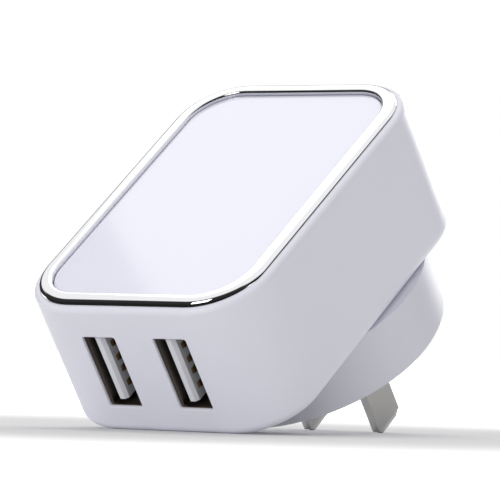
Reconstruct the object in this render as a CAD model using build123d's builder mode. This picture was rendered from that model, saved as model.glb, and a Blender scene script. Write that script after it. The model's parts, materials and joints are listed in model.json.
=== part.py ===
from build123d import *
import os
from math import asin, atan2, degrees, hypot

# Twin-port USB wall charger with a flat two-pin plug.
#
# The pieces are drawn with the charger lying on its back. X runs across it, Y runs
# from the end with the sockets to the far end, and Z runs from the back, where the
# plug stands, out through the face. The last section turns them all together into
# the pose in which the charger rests on a table: on the lower edge of its socket end
# and on the tips of its two blades.

# ---- Housing, mm
body_width = 41.0
body_length = 59.0
body_depth = 22.6  # back to the rim round the face
corner_radius = 10.1
face_edge_radius = 0.9
back_edge_radius = 1.8
wall = 1.8  # side walls above the ledge
floor_thickness = 1.8
ledge_width = 0.6  # the side walls are this much thicker below the front cover
edge_tolerance = 0.01
fit_gap = 0.1  # all round the pieces that drop into the housing

# ---- Face: trim ring, glossy plate and the cover that carries both
ring_inset = 0.95
ring_width = 2.2
ring_proud = 0.9
ring_edge_radius = 1.05
face_seat_depth = 1.1  # from the rim down to the seat of the ring and the plate
plate_proud = 0.15
plate_edge_radius = 0.3
plate_gap = 0.05
cover_thickness = 1.6

# ---- Plug: round base, and two parallel flat blades of the 12.7 mm kind
plug_radius = 21.6
plug_height = 9.7
plug_centre_y = 35.85
plug_edge_radius = 0.7
spigot_radius = 13.0
spigot_gap = 0.1
moat_inner_wall = 0.6  # over the spigot
moat_outer_wall = 3.6
moat_floor = 2.4
blade_pitch = 12.7
blade_offset = 3.0  # from the plug's centre towards the far end
blade_width = 6.35
blade_thickness = 1.45
blade_reach = 17.0
blade_tip_length = 0.9
blade_tip_bevel = 1.0
blade_tip_thinning = 0.35
blade_edge_radius = 0.15
blade_root_depth = 5.5
tang_width = 2.6
tang_thickness = 1.2

# ---- Circuit board and its solder
board_gap = 0.4
board_rest = 1.3  # height of the pillars under the board
pillar_radius = 1.5
pillar_inset = 6.2
board_thickness = 1.6
solder_reach = 0.8  # how far a leg stands out under the board
tang_reach = 0.8  # how far the blades stand out above it
leg_radius = 0.3
leg_hole_radius = 0.45
slot_gap = 0.15
isolation_slot_width = 1.2

# ---- USB-A receptacles, standing on their narrow sides
port_pitch = 12.7
port_side_ease = 0.01  # the opening is this much wider than the shell
port_opening_radius = 0.35
port_edge_radius = 0.2
port_lip = 0.45  # wall left in front of a receptacle's mouth
shell_width = 5.82
shell_height = 13.2
shell_length = 13.6
shell_sheet = 0.35
shell_bend_radius = 0.6
shell_gap = 0.15
mouth_flare = 0.22
tab_width = 1.5
tab_places = (3.4, 10.2)  # behind the mouth
tongue_recess = 0.55  # mouth to the front of the tongue
tongue_thickness = 1.84
tongue_end_gap = 0.7  # to the shell, at both ends of the tongue
tongue_wall_gap = 0.67  # to the shell on the side without contacts
tongue_bevel = 0.5
receptacle_back = 2.4  # thickness of the moulding that closes the shell
contact_pitches = (-3.5, -1.0, 1.0, 3.5)
contact_width = 1.0
contact_sheet = 0.25
contact_setback = 1.2  # from the front of the tongue
lead_width = 0.6
lead_pitch = 1.15

# ---- Works on the board: sizes
core_width = 13.2
core_depth = 6.0
core_height = 12.4
core_leg = 1.9
core_centre_leg = 3.4
core_yoke = 2.0
core_stand_off = 0.6
bobbin_gap = 0.1
bobbin_wall = 0.8
bobbin_flange = 0.8
bobbin_rail = 2.6
winding_build = 1.7
bulk_radius = 4.0
bulk_height = 12.0
output_radius = 3.15
output_height = 11.0
can_edge_radius = 0.5
can_leg_pitch = 3.5
output_leg_pitch = 2.5
choke_radius = 3.2
choke_height = 8.0
choke_waist_radius = 1.7
choke_flange = 1.2
choke_leg_pitch = 3.0
fuse_radius = 1.6
fuse_height = 9.0
fuse_wire_clearance = 0.9  # from the fuse resistor to the wire that passes it
bridge_size = (4.7, 4.0, 2.5)
controller_size = (4.9, 3.9, 1.5)
diode_size = (4.6, 3.6, 2.3)
coupler_size = (4.6, 6.4, 3.5)
chip_part_size = (1.6, 0.8, 0.5)
block_bevel_share = 1 / 6  # of the block's height
disc_radius = 3.6
disc_thickness = 2.6
disc_edge_radius = 1.0
disc_leg_pitch = 5.0

# ---- Works on the board: places, X and Y
transformer_place = (-6.4, 26.2)
bulk_tang_gap = 1.05  # from the front capacitor to the left blade's tang
bulk_lines = {"front": 39.2, "rear": 48.8}
output_places = {"left": (-13.5, 9.4), "right": (13.5, 9.4)}
choke_place = (2.2, 51.0)
fuse_place = (12.2, 50.4)
bridge_place = (-1.0, 42.6)
controller_place = (3.0, 36.4)
diode_place = (12.8, 18.0)
coupler_place = (6.4, 26.6)
disc_place = (13.0, 29.6)
chip_part_columns = 3
chip_part_rows = 3
chip_part_pitch = (2.6, 1.9)
chip_part_centre = (12.2, 39.0)

# ---- Heights and lines that follow from the sizes above
cover_top = body_depth - face_seat_depth
cover_bottom = cover_top - cover_thickness
inner_wall = wall + ledge_width
board_bottom = floor_thickness + board_rest
board_top = board_bottom + board_thickness
solder_bottom = board_bottom - solder_reach
port_centre_height = board_top + shell_height / 2
mouth_y = port_lip
shell_back_y = mouth_y + shell_length
tongue_front_y = mouth_y + tongue_recess
blade_y = plug_centre_y + blade_offset
blade_tip_height = -plug_height - blade_reach

inner_width = shell_width - 2 * shell_sheet
inner_height = shell_height - 2 * shell_sheet
port_opening_width = shell_width + port_side_ease
port_opening_height = inner_height
tongue_width = inner_height - 2 * tongue_end_gap
moat_inner_radius = spigot_radius + moat_inner_wall
moat_outer_radius = plug_radius - moat_outer_wall
bulk_column = -(blade_pitch / 2 + tang_thickness / 2 + bulk_tang_gap + bulk_radius)

sides = {"left": -1, "right": 1}

os.makedirs("parts", exist_ok=True)
finished = []
leg_places = []


def finish(builder, name):
    """Label a finished piece and keep it until the charger is set down."""
    builder.part.label = name
    finished.append(builder)


def plan_at(height):
    """Plane parallel to the charger's back, centred on its plan."""
    return Plane(origin=(0, body_length / 2, height))


def plan_outline(inset):
    """The rounded plan of the body, drawn in on every side, on the current sketch."""
    RectangleRounded(body_width - 2 * inset, body_length - 2 * inset, corner_radius - inset)


def socket_end_at(depth):
    """Upright plane behind the socket end, level with the middle of the receptacles."""
    return Plane(origin=(0, depth, port_centre_height), x_dir=(1, 0, 0), z_dir=(0, -1, 0))


def blade_plane(side, height):
    """Plane across one blade, at a height."""
    return Plane(origin=(side * blade_pitch / 2, blade_y, height))


def board_plane(place, height=board_top):
    """Plane parallel to the board, centred on a component's place."""
    return Plane(origin=(place[0], place[1], height))


def solder_legs(place, pitch):
    """Two round legs under a component, from the board's top through to its solder."""
    ends = [(place[0] + way * pitch / 2, place[1]) for way in (-1, 1)]
    with BuildSketch(Plane.XY.offset(solder_bottom)) as legs:
        with Locations(*ends):
            Circle(leg_radius)
    extrude(legs.sketch, amount=board_top - solder_bottom)
    leg_places.extend(ends)


# ---- Housing: a deep tray with the two socket openings in its end wall
with BuildPart() as housing:
    with BuildSketch(plan_at(0)):
        plan_outline(0)
    extrude(amount=body_depth)
    fillet(housing.faces().sort_by(Axis.Z)[-1].edges(), radius=face_edge_radius)
    fillet(housing.faces().sort_by(Axis.Z)[0].edges(), radius=back_edge_radius)
    with BuildSketch(plan_at(floor_thickness)):
        plan_outline(inner_wall)
    extrude(amount=body_depth - floor_thickness, mode=Mode.SUBTRACT)
    with BuildSketch(plan_at(cover_bottom)):
        plan_outline(wall)
    extrude(amount=body_depth - cover_bottom, mode=Mode.SUBTRACT)
    with BuildSketch(plan_at(cover_top)):
        plan_outline(ring_inset)
    extrude(amount=face_seat_depth, mode=Mode.SUBTRACT)
    # pillars that carry the board
    with BuildSketch(plan_at(floor_thickness)):
        with GridLocations(body_width - 2 * pillar_inset, body_length - 2 * pillar_inset, 2, 2):
            Circle(pillar_radius)
    extrude(amount=board_rest)
    # round hole that takes the spigot of the plug
    with BuildSketch(Plane.XY):
        with Locations((0, plug_centre_y)):
            Circle(spigot_radius + spigot_gap)
    extrude(amount=floor_thickness, mode=Mode.SUBTRACT)
    # openings for the sockets, with a pocket behind each that takes the metal shell
    with BuildSketch(socket_end_at(0)):
        with GridLocations(port_pitch, 0, 2, 1):
            RectangleRounded(port_opening_width, port_opening_height, port_opening_radius)
    extrude(amount=-inner_wall, mode=Mode.SUBTRACT)
    fillet(
        housing.edges().group_by(Axis.Y)[0].filter_by(
            lambda edge: abs(edge.center().X) < port_pitch
            and abs(edge.center().Z - port_centre_height) < port_opening_height / 2 + edge_tolerance
            and abs(edge.center().Y) < edge_tolerance
        ),
        radius=port_edge_radius,
    )
    with BuildSketch(socket_end_at(port_lip)):
        with GridLocations(port_pitch, 0, 2, 1):
            Rectangle(shell_width + 2 * shell_gap, shell_height + 2 * shell_gap)
    extrude(amount=-inner_wall, mode=Mode.SUBTRACT)
finish(housing, "housing")

# ---- Front cover: closes the tray and carries the ring and the plate
with BuildPart() as front_cover:
    with BuildSketch(plan_at(cover_bottom)):
        plan_outline(wall + fit_gap)
    extrude(amount=cover_thickness)
finish(front_cover, "front_cover")

# ---- Trim ring: a bright half-round moulding round the face
ring_top = body_depth + ring_proud
with BuildPart() as trim_ring:
    with BuildSketch(plan_at(cover_top)):
        plan_outline(ring_inset)
        with Locations((0, 0)):
            RectangleRounded(
                body_width - 2 * (ring_inset + ring_width),
                body_length - 2 * (ring_inset + ring_width),
                corner_radius - ring_inset - ring_width,
                mode=Mode.SUBTRACT,
            )
    extrude(amount=ring_top - cover_top)
    fillet(trim_ring.faces().sort_by(Axis.Z)[-1].edges(), radius=ring_edge_radius)
finish(trim_ring, "trim_ring")

# ---- Face plate: the glossy panel inside the ring
with BuildPart() as face_plate:
    with BuildSketch(plan_at(cover_top)):
        plan_outline(ring_inset + ring_width + plate_gap)
    extrude(amount=face_seat_depth + plate_proud)
    fillet(face_plate.faces().sort_by(Axis.Z)[-1].edges(), radius=plate_edge_radius)
finish(face_plate, "face_plate")


# ---- Plug base: a round block with a spigot that enters the housing
def blade_root(side, mode):
    """The part of a blade that the plug base is moulded round."""
    root_top = -plug_height + blade_root_depth
    with BuildSketch(blade_plane(side, -plug_height)) as root:
        Rectangle(blade_thickness, blade_width)
    extrude(root.sketch, amount=blade_root_depth, mode=mode)
    with BuildSketch(blade_plane(side, root_top)) as tang:
        Rectangle(tang_thickness, tang_width)
    extrude(tang.sketch, amount=board_top + tang_reach - root_top, mode=mode)


with BuildPart() as plug_base:
    with BuildSketch(Plane(origin=(0, plug_centre_y, -plug_height))):
        Circle(plug_radius)
    extrude(amount=plug_height)
    fillet(plug_base.faces().sort_by(Axis.Z)[0].edges(), radius=plug_edge_radius)
    with BuildSketch(Plane(origin=(0, plug_centre_y, 0))):
        Circle(spigot_radius)
    extrude(amount=floor_thickness)
    # moat that keeps the moulding an even thickness
    with BuildSketch(Plane(origin=(0, plug_centre_y, moat_floor - plug_height))):
        Circle(moat_outer_radius)
        Circle(moat_inner_radius, mode=Mode.SUBTRACT)
    extrude(amount=plug_height - moat_floor, mode=Mode.SUBTRACT)
    for side in sides.values():
        blade_root(side, Mode.SUBTRACT)
finish(plug_base, "plug_base")

# ---- Blades: flat, parallel and bevelled all round at the tip
for name, side in sides.items():
    with BuildPart() as blade:
        with BuildSketch(blade_plane(side, blade_tip_height + blade_tip_length)):
            Rectangle(blade_thickness, blade_width)
        extrude(amount=blade_reach - blade_tip_length)
        fillet(blade.edges().filter_by(Axis.Z), radius=blade_edge_radius)
        with BuildSketch(blade_plane(side, blade_tip_height)):
            Rectangle(
                blade_thickness - 2 * blade_tip_thinning, blade_width - 2 * blade_tip_bevel
            )
        with BuildSketch(blade_plane(side, blade_tip_height + blade_tip_length)):
            Rectangle(blade_thickness - 2 * blade_edge_radius, blade_width - 2 * blade_edge_radius)
        loft()
        blade_root(side, Mode.ADD)
    finish(blade, "blade_" + name)

# ---- Receptacles: a bent steel shell, a moulded tongue and four contacts in each
tongue_shift = -inner_width / 2 + tongue_wall_gap + tongue_thickness / 2
contact_face_x = tongue_shift + tongue_thickness / 2
lead_y = shell_back_y + contact_sheet / 2
lead_columns = [contact_face_x - lead_pitch * step for step in range(4)]
tab_slots = []
lead_slots = []
for name, side in sides.items():
    middle_x = side * port_pitch / 2

    with BuildPart() as shell:
        with BuildSketch(socket_end_at(mouth_y)):
            with Locations((middle_x, 0)):
                RectangleRounded(shell_width, shell_height, shell_bend_radius)
                RectangleRounded(
                    inner_width, inner_height, shell_bend_radius - shell_sheet, mode=Mode.SUBTRACT
                )
        extrude(amount=-shell_length)
        mouth = shell.faces().sort_by(Axis.Y)[0].inner_wires()[0]
        chamfer(mouth.edges(), length=mouth_flare)
        # tabs that stand through the board
        for place in tab_places:
            tab = (middle_x, mouth_y + place)
            with BuildSketch(board_plane(tab, solder_bottom)):
                Rectangle(shell_sheet, tab_width)
            extrude(amount=board_top + shell_sheet - solder_bottom)
            tab_slots.append(tab)
    finish(shell, "usb_shell_" + name)

    with BuildPart() as tongue:
        with BuildSketch(socket_end_at(tongue_front_y)):
            with Locations((middle_x + tongue_shift, 0)):
                Rectangle(tongue_thickness, tongue_width)
        extrude(amount=tongue_front_y - shell_back_y)
        front = tongue.faces().sort_by(Axis.Y)[0]
        chamfer(front.edges().filter_by(Axis.Z), length=tongue_bevel)
        with BuildSketch(socket_end_at(shell_back_y - receptacle_back)):
            with Locations((middle_x, 0)):
                RectangleRounded(inner_width, inner_height, shell_bend_radius - shell_sheet)
        extrude(amount=-receptacle_back)
        # channels that the contacts lie in
        with BuildSketch(socket_end_at(tongue_front_y + contact_setback)):
            for pitch in contact_pitches:
                with Locations((middle_x + contact_face_x - contact_sheet / 2, pitch)):
                    Rectangle(contact_sheet, contact_width)
        extrude(amount=tongue_front_y + contact_setback - shell_back_y, mode=Mode.SUBTRACT)
    finish(tongue, "usb_tongue_" + name)

    with BuildPart() as contacts:
        # the lowest contact turns down nearest the tongue's face, and the highest furthest
        for pitch, column in zip(contact_pitches, lead_columns):
            with BuildSketch(socket_end_at(tongue_front_y + contact_setback)):
                with Locations((middle_x + contact_face_x - contact_sheet / 2, pitch)):
                    Rectangle(contact_sheet, contact_width)
            extrude(amount=tongue_front_y + contact_setback - shell_back_y - contact_sheet)
            lead = middle_x + column - contact_sheet / 2
            reach = lead_columns[0] - column
            with BuildSketch(socket_end_at(shell_back_y)):
                with Locations((middle_x + contact_face_x - (contact_sheet + reach) / 2, pitch)):
                    Rectangle(contact_sheet + reach, contact_width)
            extrude(amount=-contact_sheet)
            lead_top = port_centre_height + pitch
            with BuildSketch(board_plane((lead, lead_y), solder_bottom)):
                Rectangle(lead_width, contact_sheet)
            extrude(amount=lead_top - solder_bottom)
            lead_slots.append((lead, lead_y))
    finish(contacts, "usb_contacts_" + name)

# ---- Transformer: a ferrite core round a wound bobbin
core_bottom = board_top + core_stand_off
window_bottom = core_bottom + core_yoke
window_height = core_height - 2 * core_yoke
window_width = (core_width - core_centre_leg) / 2 - core_leg
tube_width = core_centre_leg + 2 * (bobbin_gap + bobbin_wall)
tube_depth = core_depth + 2 * (bobbin_gap + bobbin_wall)
flange_width = core_centre_leg + 2 * (window_width - bobbin_gap)
flange_depth = tube_depth + 2 * (winding_build + bobbin_gap)
spool_height = window_height - 2 * bobbin_flange

with BuildPart() as transformer_core:
    upright = Plane(
        origin=(transformer_place[0], transformer_place[1], core_bottom + core_height / 2),
        x_dir=(1, 0, 0),
        z_dir=(0, -1, 0),
    )
    with BuildSketch(upright):
        Rectangle(core_width, core_height)
        with GridLocations(core_centre_leg + window_width, 0, 2, 1):
            Rectangle(window_width, window_height, mode=Mode.SUBTRACT)
    extrude(amount=core_depth / 2, both=True)
finish(transformer_core, "transformer_core")

with BuildPart() as transformer_bobbin:
    for level in (window_bottom, window_bottom + window_height - bobbin_flange):
        with BuildSketch(board_plane(transformer_place, level)):
            Rectangle(flange_width, flange_depth)
        extrude(amount=bobbin_flange)
    with BuildSketch(board_plane(transformer_place, window_bottom)):
        Rectangle(tube_width, tube_depth)
    extrude(amount=window_height)
    # rails that stand on the board, in front of the core and behind it
    rail_middle = core_depth / 2 + bobbin_gap + bobbin_rail / 2
    with BuildSketch(board_plane(transformer_place, board_top)):
        with GridLocations(0, 2 * rail_middle, 1, 2):
            Rectangle(flange_width, bobbin_rail)
    extrude(amount=window_bottom + bobbin_flange - board_top)
    with BuildSketch(board_plane(transformer_place, window_bottom)):
        Rectangle(core_centre_leg + 2 * bobbin_gap, core_depth + 2 * bobbin_gap)
    extrude(amount=window_height, mode=Mode.SUBTRACT)
    for way in (-1, 1):
        solder_legs(
            (transformer_place[0], transformer_place[1] + way * rail_middle),
            flange_width - bobbin_rail,
        )
finish(transformer_bobbin, "transformer_bobbin")

with BuildPart() as transformer_winding:
    with BuildSketch(board_plane(transformer_place, window_bottom + bobbin_flange)):
        RectangleRounded(
            tube_width + 2 * winding_build, tube_depth + 2 * winding_build, winding_build
        )
        Rectangle(tube_width, tube_depth, mode=Mode.SUBTRACT)
    extrude(amount=spool_height)
    # the outer legs of the core pass the winding clear
    with BuildSketch(board_plane(transformer_place, window_bottom)):
        with GridLocations(core_width + core_centre_leg + 2 * window_width - core_leg, 0, 2, 1):
            Rectangle(core_width, core_depth + 2 * bobbin_gap)
    extrude(amount=window_height, mode=Mode.SUBTRACT)
finish(transformer_winding, "transformer_winding")


# ---- Capacitors: round cans with rolled edges
def can(place, radius, height, leg_pitch):
    """A capacitor's can standing on the board, with its two legs."""
    with BuildSketch(board_plane(place)) as base:
        Circle(radius)
    extrude(base.sketch, amount=height)
    fillet(edges().filter_by(GeomType.CIRCLE), radius=can_edge_radius)
    solder_legs(place, leg_pitch)


for name, line in bulk_lines.items():
    with BuildPart() as bulk_capacitor:
        can((bulk_column, line), bulk_radius, bulk_height, can_leg_pitch)
    finish(bulk_capacitor, "bulk_capacitor_" + name)

for name, place in output_places.items():
    with BuildPart() as output_capacitor:
        can(place, output_radius, output_height, output_leg_pitch)
    finish(output_capacitor, "output_capacitor_" + name)

# ---- Input choke: a drum with a wound waist
with BuildPart() as input_choke:
    with BuildSketch(board_plane(choke_place)):
        Circle(choke_radius)
    extrude(amount=choke_height)
    with BuildSketch(board_plane(choke_place, board_top + choke_flange)):
        Circle(choke_radius)
        Circle(choke_waist_radius, mode=Mode.SUBTRACT)
    extrude(amount=choke_height - 2 * choke_flange, mode=Mode.SUBTRACT)
    solder_legs(choke_place, choke_leg_pitch)
finish(input_choke, "input_choke")

with BuildPart() as choke_winding:
    with BuildSketch(board_plane(choke_place, board_top + choke_flange)):
        Circle(choke_radius - fit_gap)
        Circle(choke_waist_radius, mode=Mode.SUBTRACT)
    extrude(amount=choke_height - 2 * choke_flange)
finish(choke_winding, "choke_winding")

# ---- Fuse resistor: a small rod standing on end, its upper wire turned back down
with BuildPart() as fuse_resistor:
    with BuildSketch(board_plane(fuse_place)):
        Circle(fuse_radius)
    extrude(amount=fuse_height)
    fillet(fuse_resistor.edges().filter_by(GeomType.CIRCLE), radius=can_edge_radius)
    wire_top = board_top + fuse_height + fuse_wire_clearance
    return_y = fuse_place[1] - fuse_radius - fuse_wire_clearance
    with BuildSketch(board_plane((fuse_place[0], fuse_place[1]), board_top + fuse_height)):
        Circle(leg_radius)
    extrude(amount=wire_top - board_top - fuse_height)
    bridge_wire = Plane(origin=(fuse_place[0], fuse_place[1] + leg_radius, wire_top), z_dir=(0, -1, 0))
    with BuildSketch(bridge_wire):
        Circle(leg_radius)
    extrude(amount=fuse_place[1] - return_y + 2 * leg_radius)
    with BuildSketch(Plane.XY.offset(solder_bottom)):
        with Locations((fuse_place[0], return_y), fuse_place):
            Circle(leg_radius)
    extrude(amount=board_top - solder_bottom)
    with BuildSketch(Plane.XY.offset(board_top)):
        with Locations((fuse_place[0], return_y)):
            Circle(leg_radius)
    extrude(amount=wire_top - board_top)
    leg_places.extend([(fuse_place[0], return_y), fuse_place])
finish(fuse_resistor, "fuse_resistor")

# ---- Interference capacitor: a disc on edge, bridging the two halves of the board
with BuildPart() as interference_capacitor:
    disc_bottom = board_top + disc_edge_radius / 2
    disc_plane = Plane(
        origin=(disc_place[0], disc_place[1], disc_bottom + disc_radius), z_dir=(0, -1, 0)
    )
    with BuildSketch(disc_plane):
        Circle(disc_radius)
    extrude(amount=disc_thickness / 2, both=True)
    fillet(interference_capacitor.edges().filter_by(GeomType.CIRCLE), radius=disc_edge_radius)
    ends = [(disc_place[0] + way * disc_leg_pitch / 2, disc_place[1]) for way in (-1, 1)]
    with BuildSketch(Plane.XY.offset(solder_bottom)):
        with Locations(*ends):
            Circle(leg_radius)
    extrude(amount=disc_bottom + disc_radius - solder_bottom)
    leg_places.extend(ends)
finish(interference_capacitor, "interference_capacitor")


# ---- Moulded parts that lie on the board's top
def moulded_block(place, size):
    """A small moulded case, lying on the board."""
    with BuildSketch(board_plane(place)) as base:
        Rectangle(size[0], size[1])
    extrude(base.sketch, amount=size[2])


blocks = {
    "bridge_rectifier": (bridge_place, bridge_size),
    "controller_chip": (controller_place, controller_size),
    "output_diode": (diode_place, diode_size),
    "optocoupler": (coupler_place, coupler_size),
}
for name, (place, size) in blocks.items():
    with BuildPart() as block:
        moulded_block(place, size)
        chamfer(block.faces().sort_by(Axis.Z)[-1].edges(), length=size[2] * block_bevel_share)
    finish(block, name)

with BuildPart() as chip_parts:
    with BuildSketch(board_plane(chip_part_centre)):
        with GridLocations(*chip_part_pitch, chip_part_columns, chip_part_rows):
            Rectangle(chip_part_size[0], chip_part_size[1])
    extrude(amount=chip_part_size[2])
finish(chip_parts, "chip_parts")

# ---- Circuit board: drilled for every leg, tab and tang
with BuildPart() as circuit_board:
    with BuildSketch(plan_at(board_bottom)):
        plan_outline(inner_wall + board_gap)
    extrude(amount=board_thickness)
    with BuildSketch(Plane.XY.offset(board_bottom)):
        with Locations(*leg_places):
            Circle(leg_hole_radius)
        with Locations(*tab_slots):
            Rectangle(shell_sheet + 2 * slot_gap, tab_width + 2 * slot_gap)
        with Locations(*lead_slots):
            Rectangle(lead_width + slot_gap, contact_sheet + 2 * slot_gap)
        # slot that keeps the mains side of the board apart from the outlet side
        with Locations((coupler_place[0], coupler_place[1])):
            Rectangle(isolation_slot_width, coupler_size[1] / 2)
    extrude(amount=board_thickness, mode=Mode.SUBTRACT)
    for side in sides.values():
        with BuildSketch(blade_plane(side, board_bottom)):
            Rectangle(tang_thickness + 2 * slot_gap, tang_width + 2 * slot_gap)
        extrude(amount=board_thickness, mode=Mode.SUBTRACT)
finish(circuit_board, "circuit_board")

# ---- Setting the charger down
# It leans on the rounded lower edge of its socket end and on the nearest corner of
# each blade tip, so the line through both contacts gives the tilt.
along = blade_y - blade_width / 2 + blade_tip_bevel - back_edge_radius
below = back_edge_radius - blade_tip_height
tilt = degrees(atan2(below, along) - asin(back_edge_radius / hypot(along, below)))

leaning = Location((0, 0, 0), (tilt, 0, 0))
box = Compound([piece.part.moved(leaning) for piece in finished]).bounding_box()
set_down = Location((-box.center().X, -box.center().Y, -box.min.Z)) * leaning

for piece in finished:
    piece.part.move(set_down)
    export_step(piece.part, f"parts/{piece.part.label}.step")

print(f"tilt {tilt:.3f} degrees, moved by {set_down.position}")
print(f"box {box.size.X:.2f} x {box.size.Y:.2f} x {box.size.Z:.2f} mm")
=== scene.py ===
"""Looks of a two-socket USB wall charger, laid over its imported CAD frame.

Every size is in metres in the frame's own axes. Pieces made here are drawn with the
charger lying on its back, X across, Y from the socket end to the far end and Z out
through the face, and are then leaned into the pose in which the charger rests.
"""

from __future__ import annotations

import json
import logging
import math
from collections.abc import Callable, Iterable
from dataclasses import dataclass, field
from enum import Enum

import bmesh
import bpy
from mathutils import Matrix, Vector

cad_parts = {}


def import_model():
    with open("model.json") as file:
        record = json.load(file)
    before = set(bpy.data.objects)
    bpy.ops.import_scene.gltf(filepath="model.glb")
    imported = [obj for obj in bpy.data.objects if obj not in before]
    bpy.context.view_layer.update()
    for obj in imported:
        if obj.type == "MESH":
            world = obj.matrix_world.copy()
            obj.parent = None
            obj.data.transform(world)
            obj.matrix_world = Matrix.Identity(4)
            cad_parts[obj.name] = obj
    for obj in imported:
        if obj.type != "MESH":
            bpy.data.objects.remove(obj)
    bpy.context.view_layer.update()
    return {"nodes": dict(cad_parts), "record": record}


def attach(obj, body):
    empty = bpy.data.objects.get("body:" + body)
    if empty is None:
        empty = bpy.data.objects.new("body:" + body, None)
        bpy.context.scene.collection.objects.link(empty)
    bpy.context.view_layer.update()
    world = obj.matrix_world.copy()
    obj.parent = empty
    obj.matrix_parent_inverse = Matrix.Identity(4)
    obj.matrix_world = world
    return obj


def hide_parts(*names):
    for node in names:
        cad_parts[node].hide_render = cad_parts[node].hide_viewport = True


LOG = logging.getLogger("charger")
MM = 0.001
BODY = "root"
BOARD_TOP = 4.7 * MM
NEAR = 1e-6  # how close a place has to be to count as the same, in metres
MERGE = 1e-7  # doubles closer than this are merged, in metres
TONE_SCALE = 180.0  # how often colour drifts, in waves per metre
HAZE_SCALE = 140.0
SCUFF_SCALE = 60.0
DUST_SCALE = 900.0
BRUSH_STRETCH = (1.0, 1.0, 0.04)  # draws noise out along Z
STREAK_BAND = (0.42, 0.62)  # noise between which a brushed streak comes in
TRACK_SCALE = 90.0  # copper areas on the board
TRACK_GAP = 0.03
TRACK_GREEN = (0.035, 0.168, 0.057, 1.0)
DUST_GREY = (0.55, 0.53, 0.5, 1.0)
DUST_SLOPE = (0.35, 0.95)  # upward share of a face's normal between which dust settles
DUST_PATCH = (0.48, 0.75)  # noise between which dust gathers
SCUFF_WIDTH = (0.012, 0.0)  # distance from a scuff's middle, from clear to full

Socket = tuple[bpy.types.Node, str | int]  # a node and one of its outputs


class Texture(Enum):
    """The kinds of surface that a finish can have."""

    MOULDED = "moulded"
    POLISHED = "polished"
    BRUSHED = "brushed"
    SINTERED = "sintered"
    WOUND = "wound"
    MASKED = "masked"


class Part(Enum):
    """What an edit-mode selection picks."""

    VERT = "VERT"
    EDGE = "EDGE"
    FACE = "FACE"


@dataclass(frozen=True)
class Finish:
    """One finish: its colour, its gloss and the fine texture of its surface.

    Args:
        name: the material's name.
        colour: base colour, linear.
        roughness: middle value of the roughness.
        metallic: 0 for plastics, 1 for metals.
        coat: weight of a clear, glossy top layer.
        texture: the kind of fine texture.
        grain: size of one grain or turn, in metres.
        relief: height of the texture, in metres.
        tone: how far the colour wanders, as a share.
        haze: how far the roughness wanders.
        dust: how much dust lies on what faces up.
        tinned_below: legs under this height above the back plane are bare metal.
        crown_above: what is over this height is bare aluminium.
    """

    name: str
    colour: tuple[float, float, float]
    roughness: float
    metallic: float = 0.0
    coat: float = 0.0
    texture: Texture = Texture.MOULDED
    grain: float = 0.25 * MM
    relief: float = 0.004 * MM
    tone: float = 0.03
    haze: float = 0.05
    dust: float = 0.0
    tinned_below: float | None = None
    crown_above: float | None = None


# ---------------------------------------------------------------- bench

@dataclass
class Bench:
    """The charger's own axes, and how they stand in the frame.

    Args:
        record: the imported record, whose face mount says how the charger leans.
        face_mark: where that mount is in the charger's own axes.
    """

    record: dict
    face_mark: Vector = field(default_factory=lambda: Vector((0.0, 29.5 * MM, 22.75 * MM)))

    def __post_init__(self) -> None:
        """Work out the lean and the origin from the face mount."""
        mount = next(m for m in self.record["mounts"] if m["name"] == "front_face")
        axis = Vector(mount["axis"])
        self.lean = math.atan2(-axis.y, axis.z)
        turn = Matrix.Rotation(self.lean, 4, "X")
        self.origin = Vector(mount["pos_m"]) - turn @ self.face_mark
        self.matrix = Matrix.Translation(self.origin) @ turn

    def set_down(self, piece: bpy.types.Object) -> bpy.types.Object:
        """Lean a piece drawn in the charger's axes, and put its place in its mesh.

        Args:
            piece: the object to lean.

        Returns:
            The same object, at the origin, unturned and unscaled.
        """
        leave_edit()
        only(piece)
        piece.matrix_world = self.matrix @ piece.matrix_world
        bpy.ops.object.transform_apply(location=True, rotation=True, scale=True)
        return piece


def leave_edit() -> None:
    """Go back to object mode if anything is being edited."""
    if bpy.context.object is not None and bpy.context.object.mode != "OBJECT":
        bpy.ops.object.mode_set(mode="OBJECT")


def only(piece: bpy.types.Object) -> None:
    """Select one object and nothing else."""
    bpy.ops.object.select_all(action="DESELECT")
    piece.select_set(True)
    bpy.context.view_layer.objects.active = piece


def start_box(name: str, low: Vector, high: Vector) -> bpy.types.Object:
    """Add a cube primitive at its size and place, and start editing it.

    Args:
        name: name of the new object.
        low: lowest corner, in millimetres.
        high: highest corner, in millimetres.

    Returns:
        The new object, in edit mode with all of it selected.
    """
    leave_edit()
    bpy.ops.object.select_all(action="DESELECT")
    low, high = Vector(low) * MM, Vector(high) * MM
    bpy.ops.mesh.primitive_cube_add(size=1.0, location=(low + high) / 2)
    piece = bpy.context.object
    piece.name = name
    piece.scale = high - low
    bpy.ops.object.transform_apply(location=True, rotation=True, scale=True)
    bpy.ops.object.mode_set(mode="EDIT")
    bpy.ops.mesh.select_all(action="SELECT")
    return piece


def pick(piece: bpy.types.Object, part: Part, rule: Callable[[object], bool]) -> int:
    """Select what a rule picks in the mesh being edited.

    Args:
        piece: the object in edit mode.
        part: whether verts, edges or faces are picked.
        rule: says of one bmesh element whether it is picked.

    Returns:
        How many elements were picked.
    """
    bpy.ops.mesh.select_mode(type=part.value)
    bpy.ops.mesh.select_all(action="DESELECT")
    mesh = bmesh.from_edit_mesh(piece.data)
    group = {Part.VERT: mesh.verts, Part.EDGE: mesh.edges, Part.FACE: mesh.faces}[part]
    picked = [element for element in group if rule(element)]
    for element in picked:
        element.select_set(True)
    mesh.select_flush_mode()
    bmesh.update_edit_mesh(piece.data)
    return len(picked)


def middle(edge: bmesh.types.BMEdge) -> Vector:
    """The middle of an edge."""
    return (edge.verts[0].co + edge.verts[1].co) / 2


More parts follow.
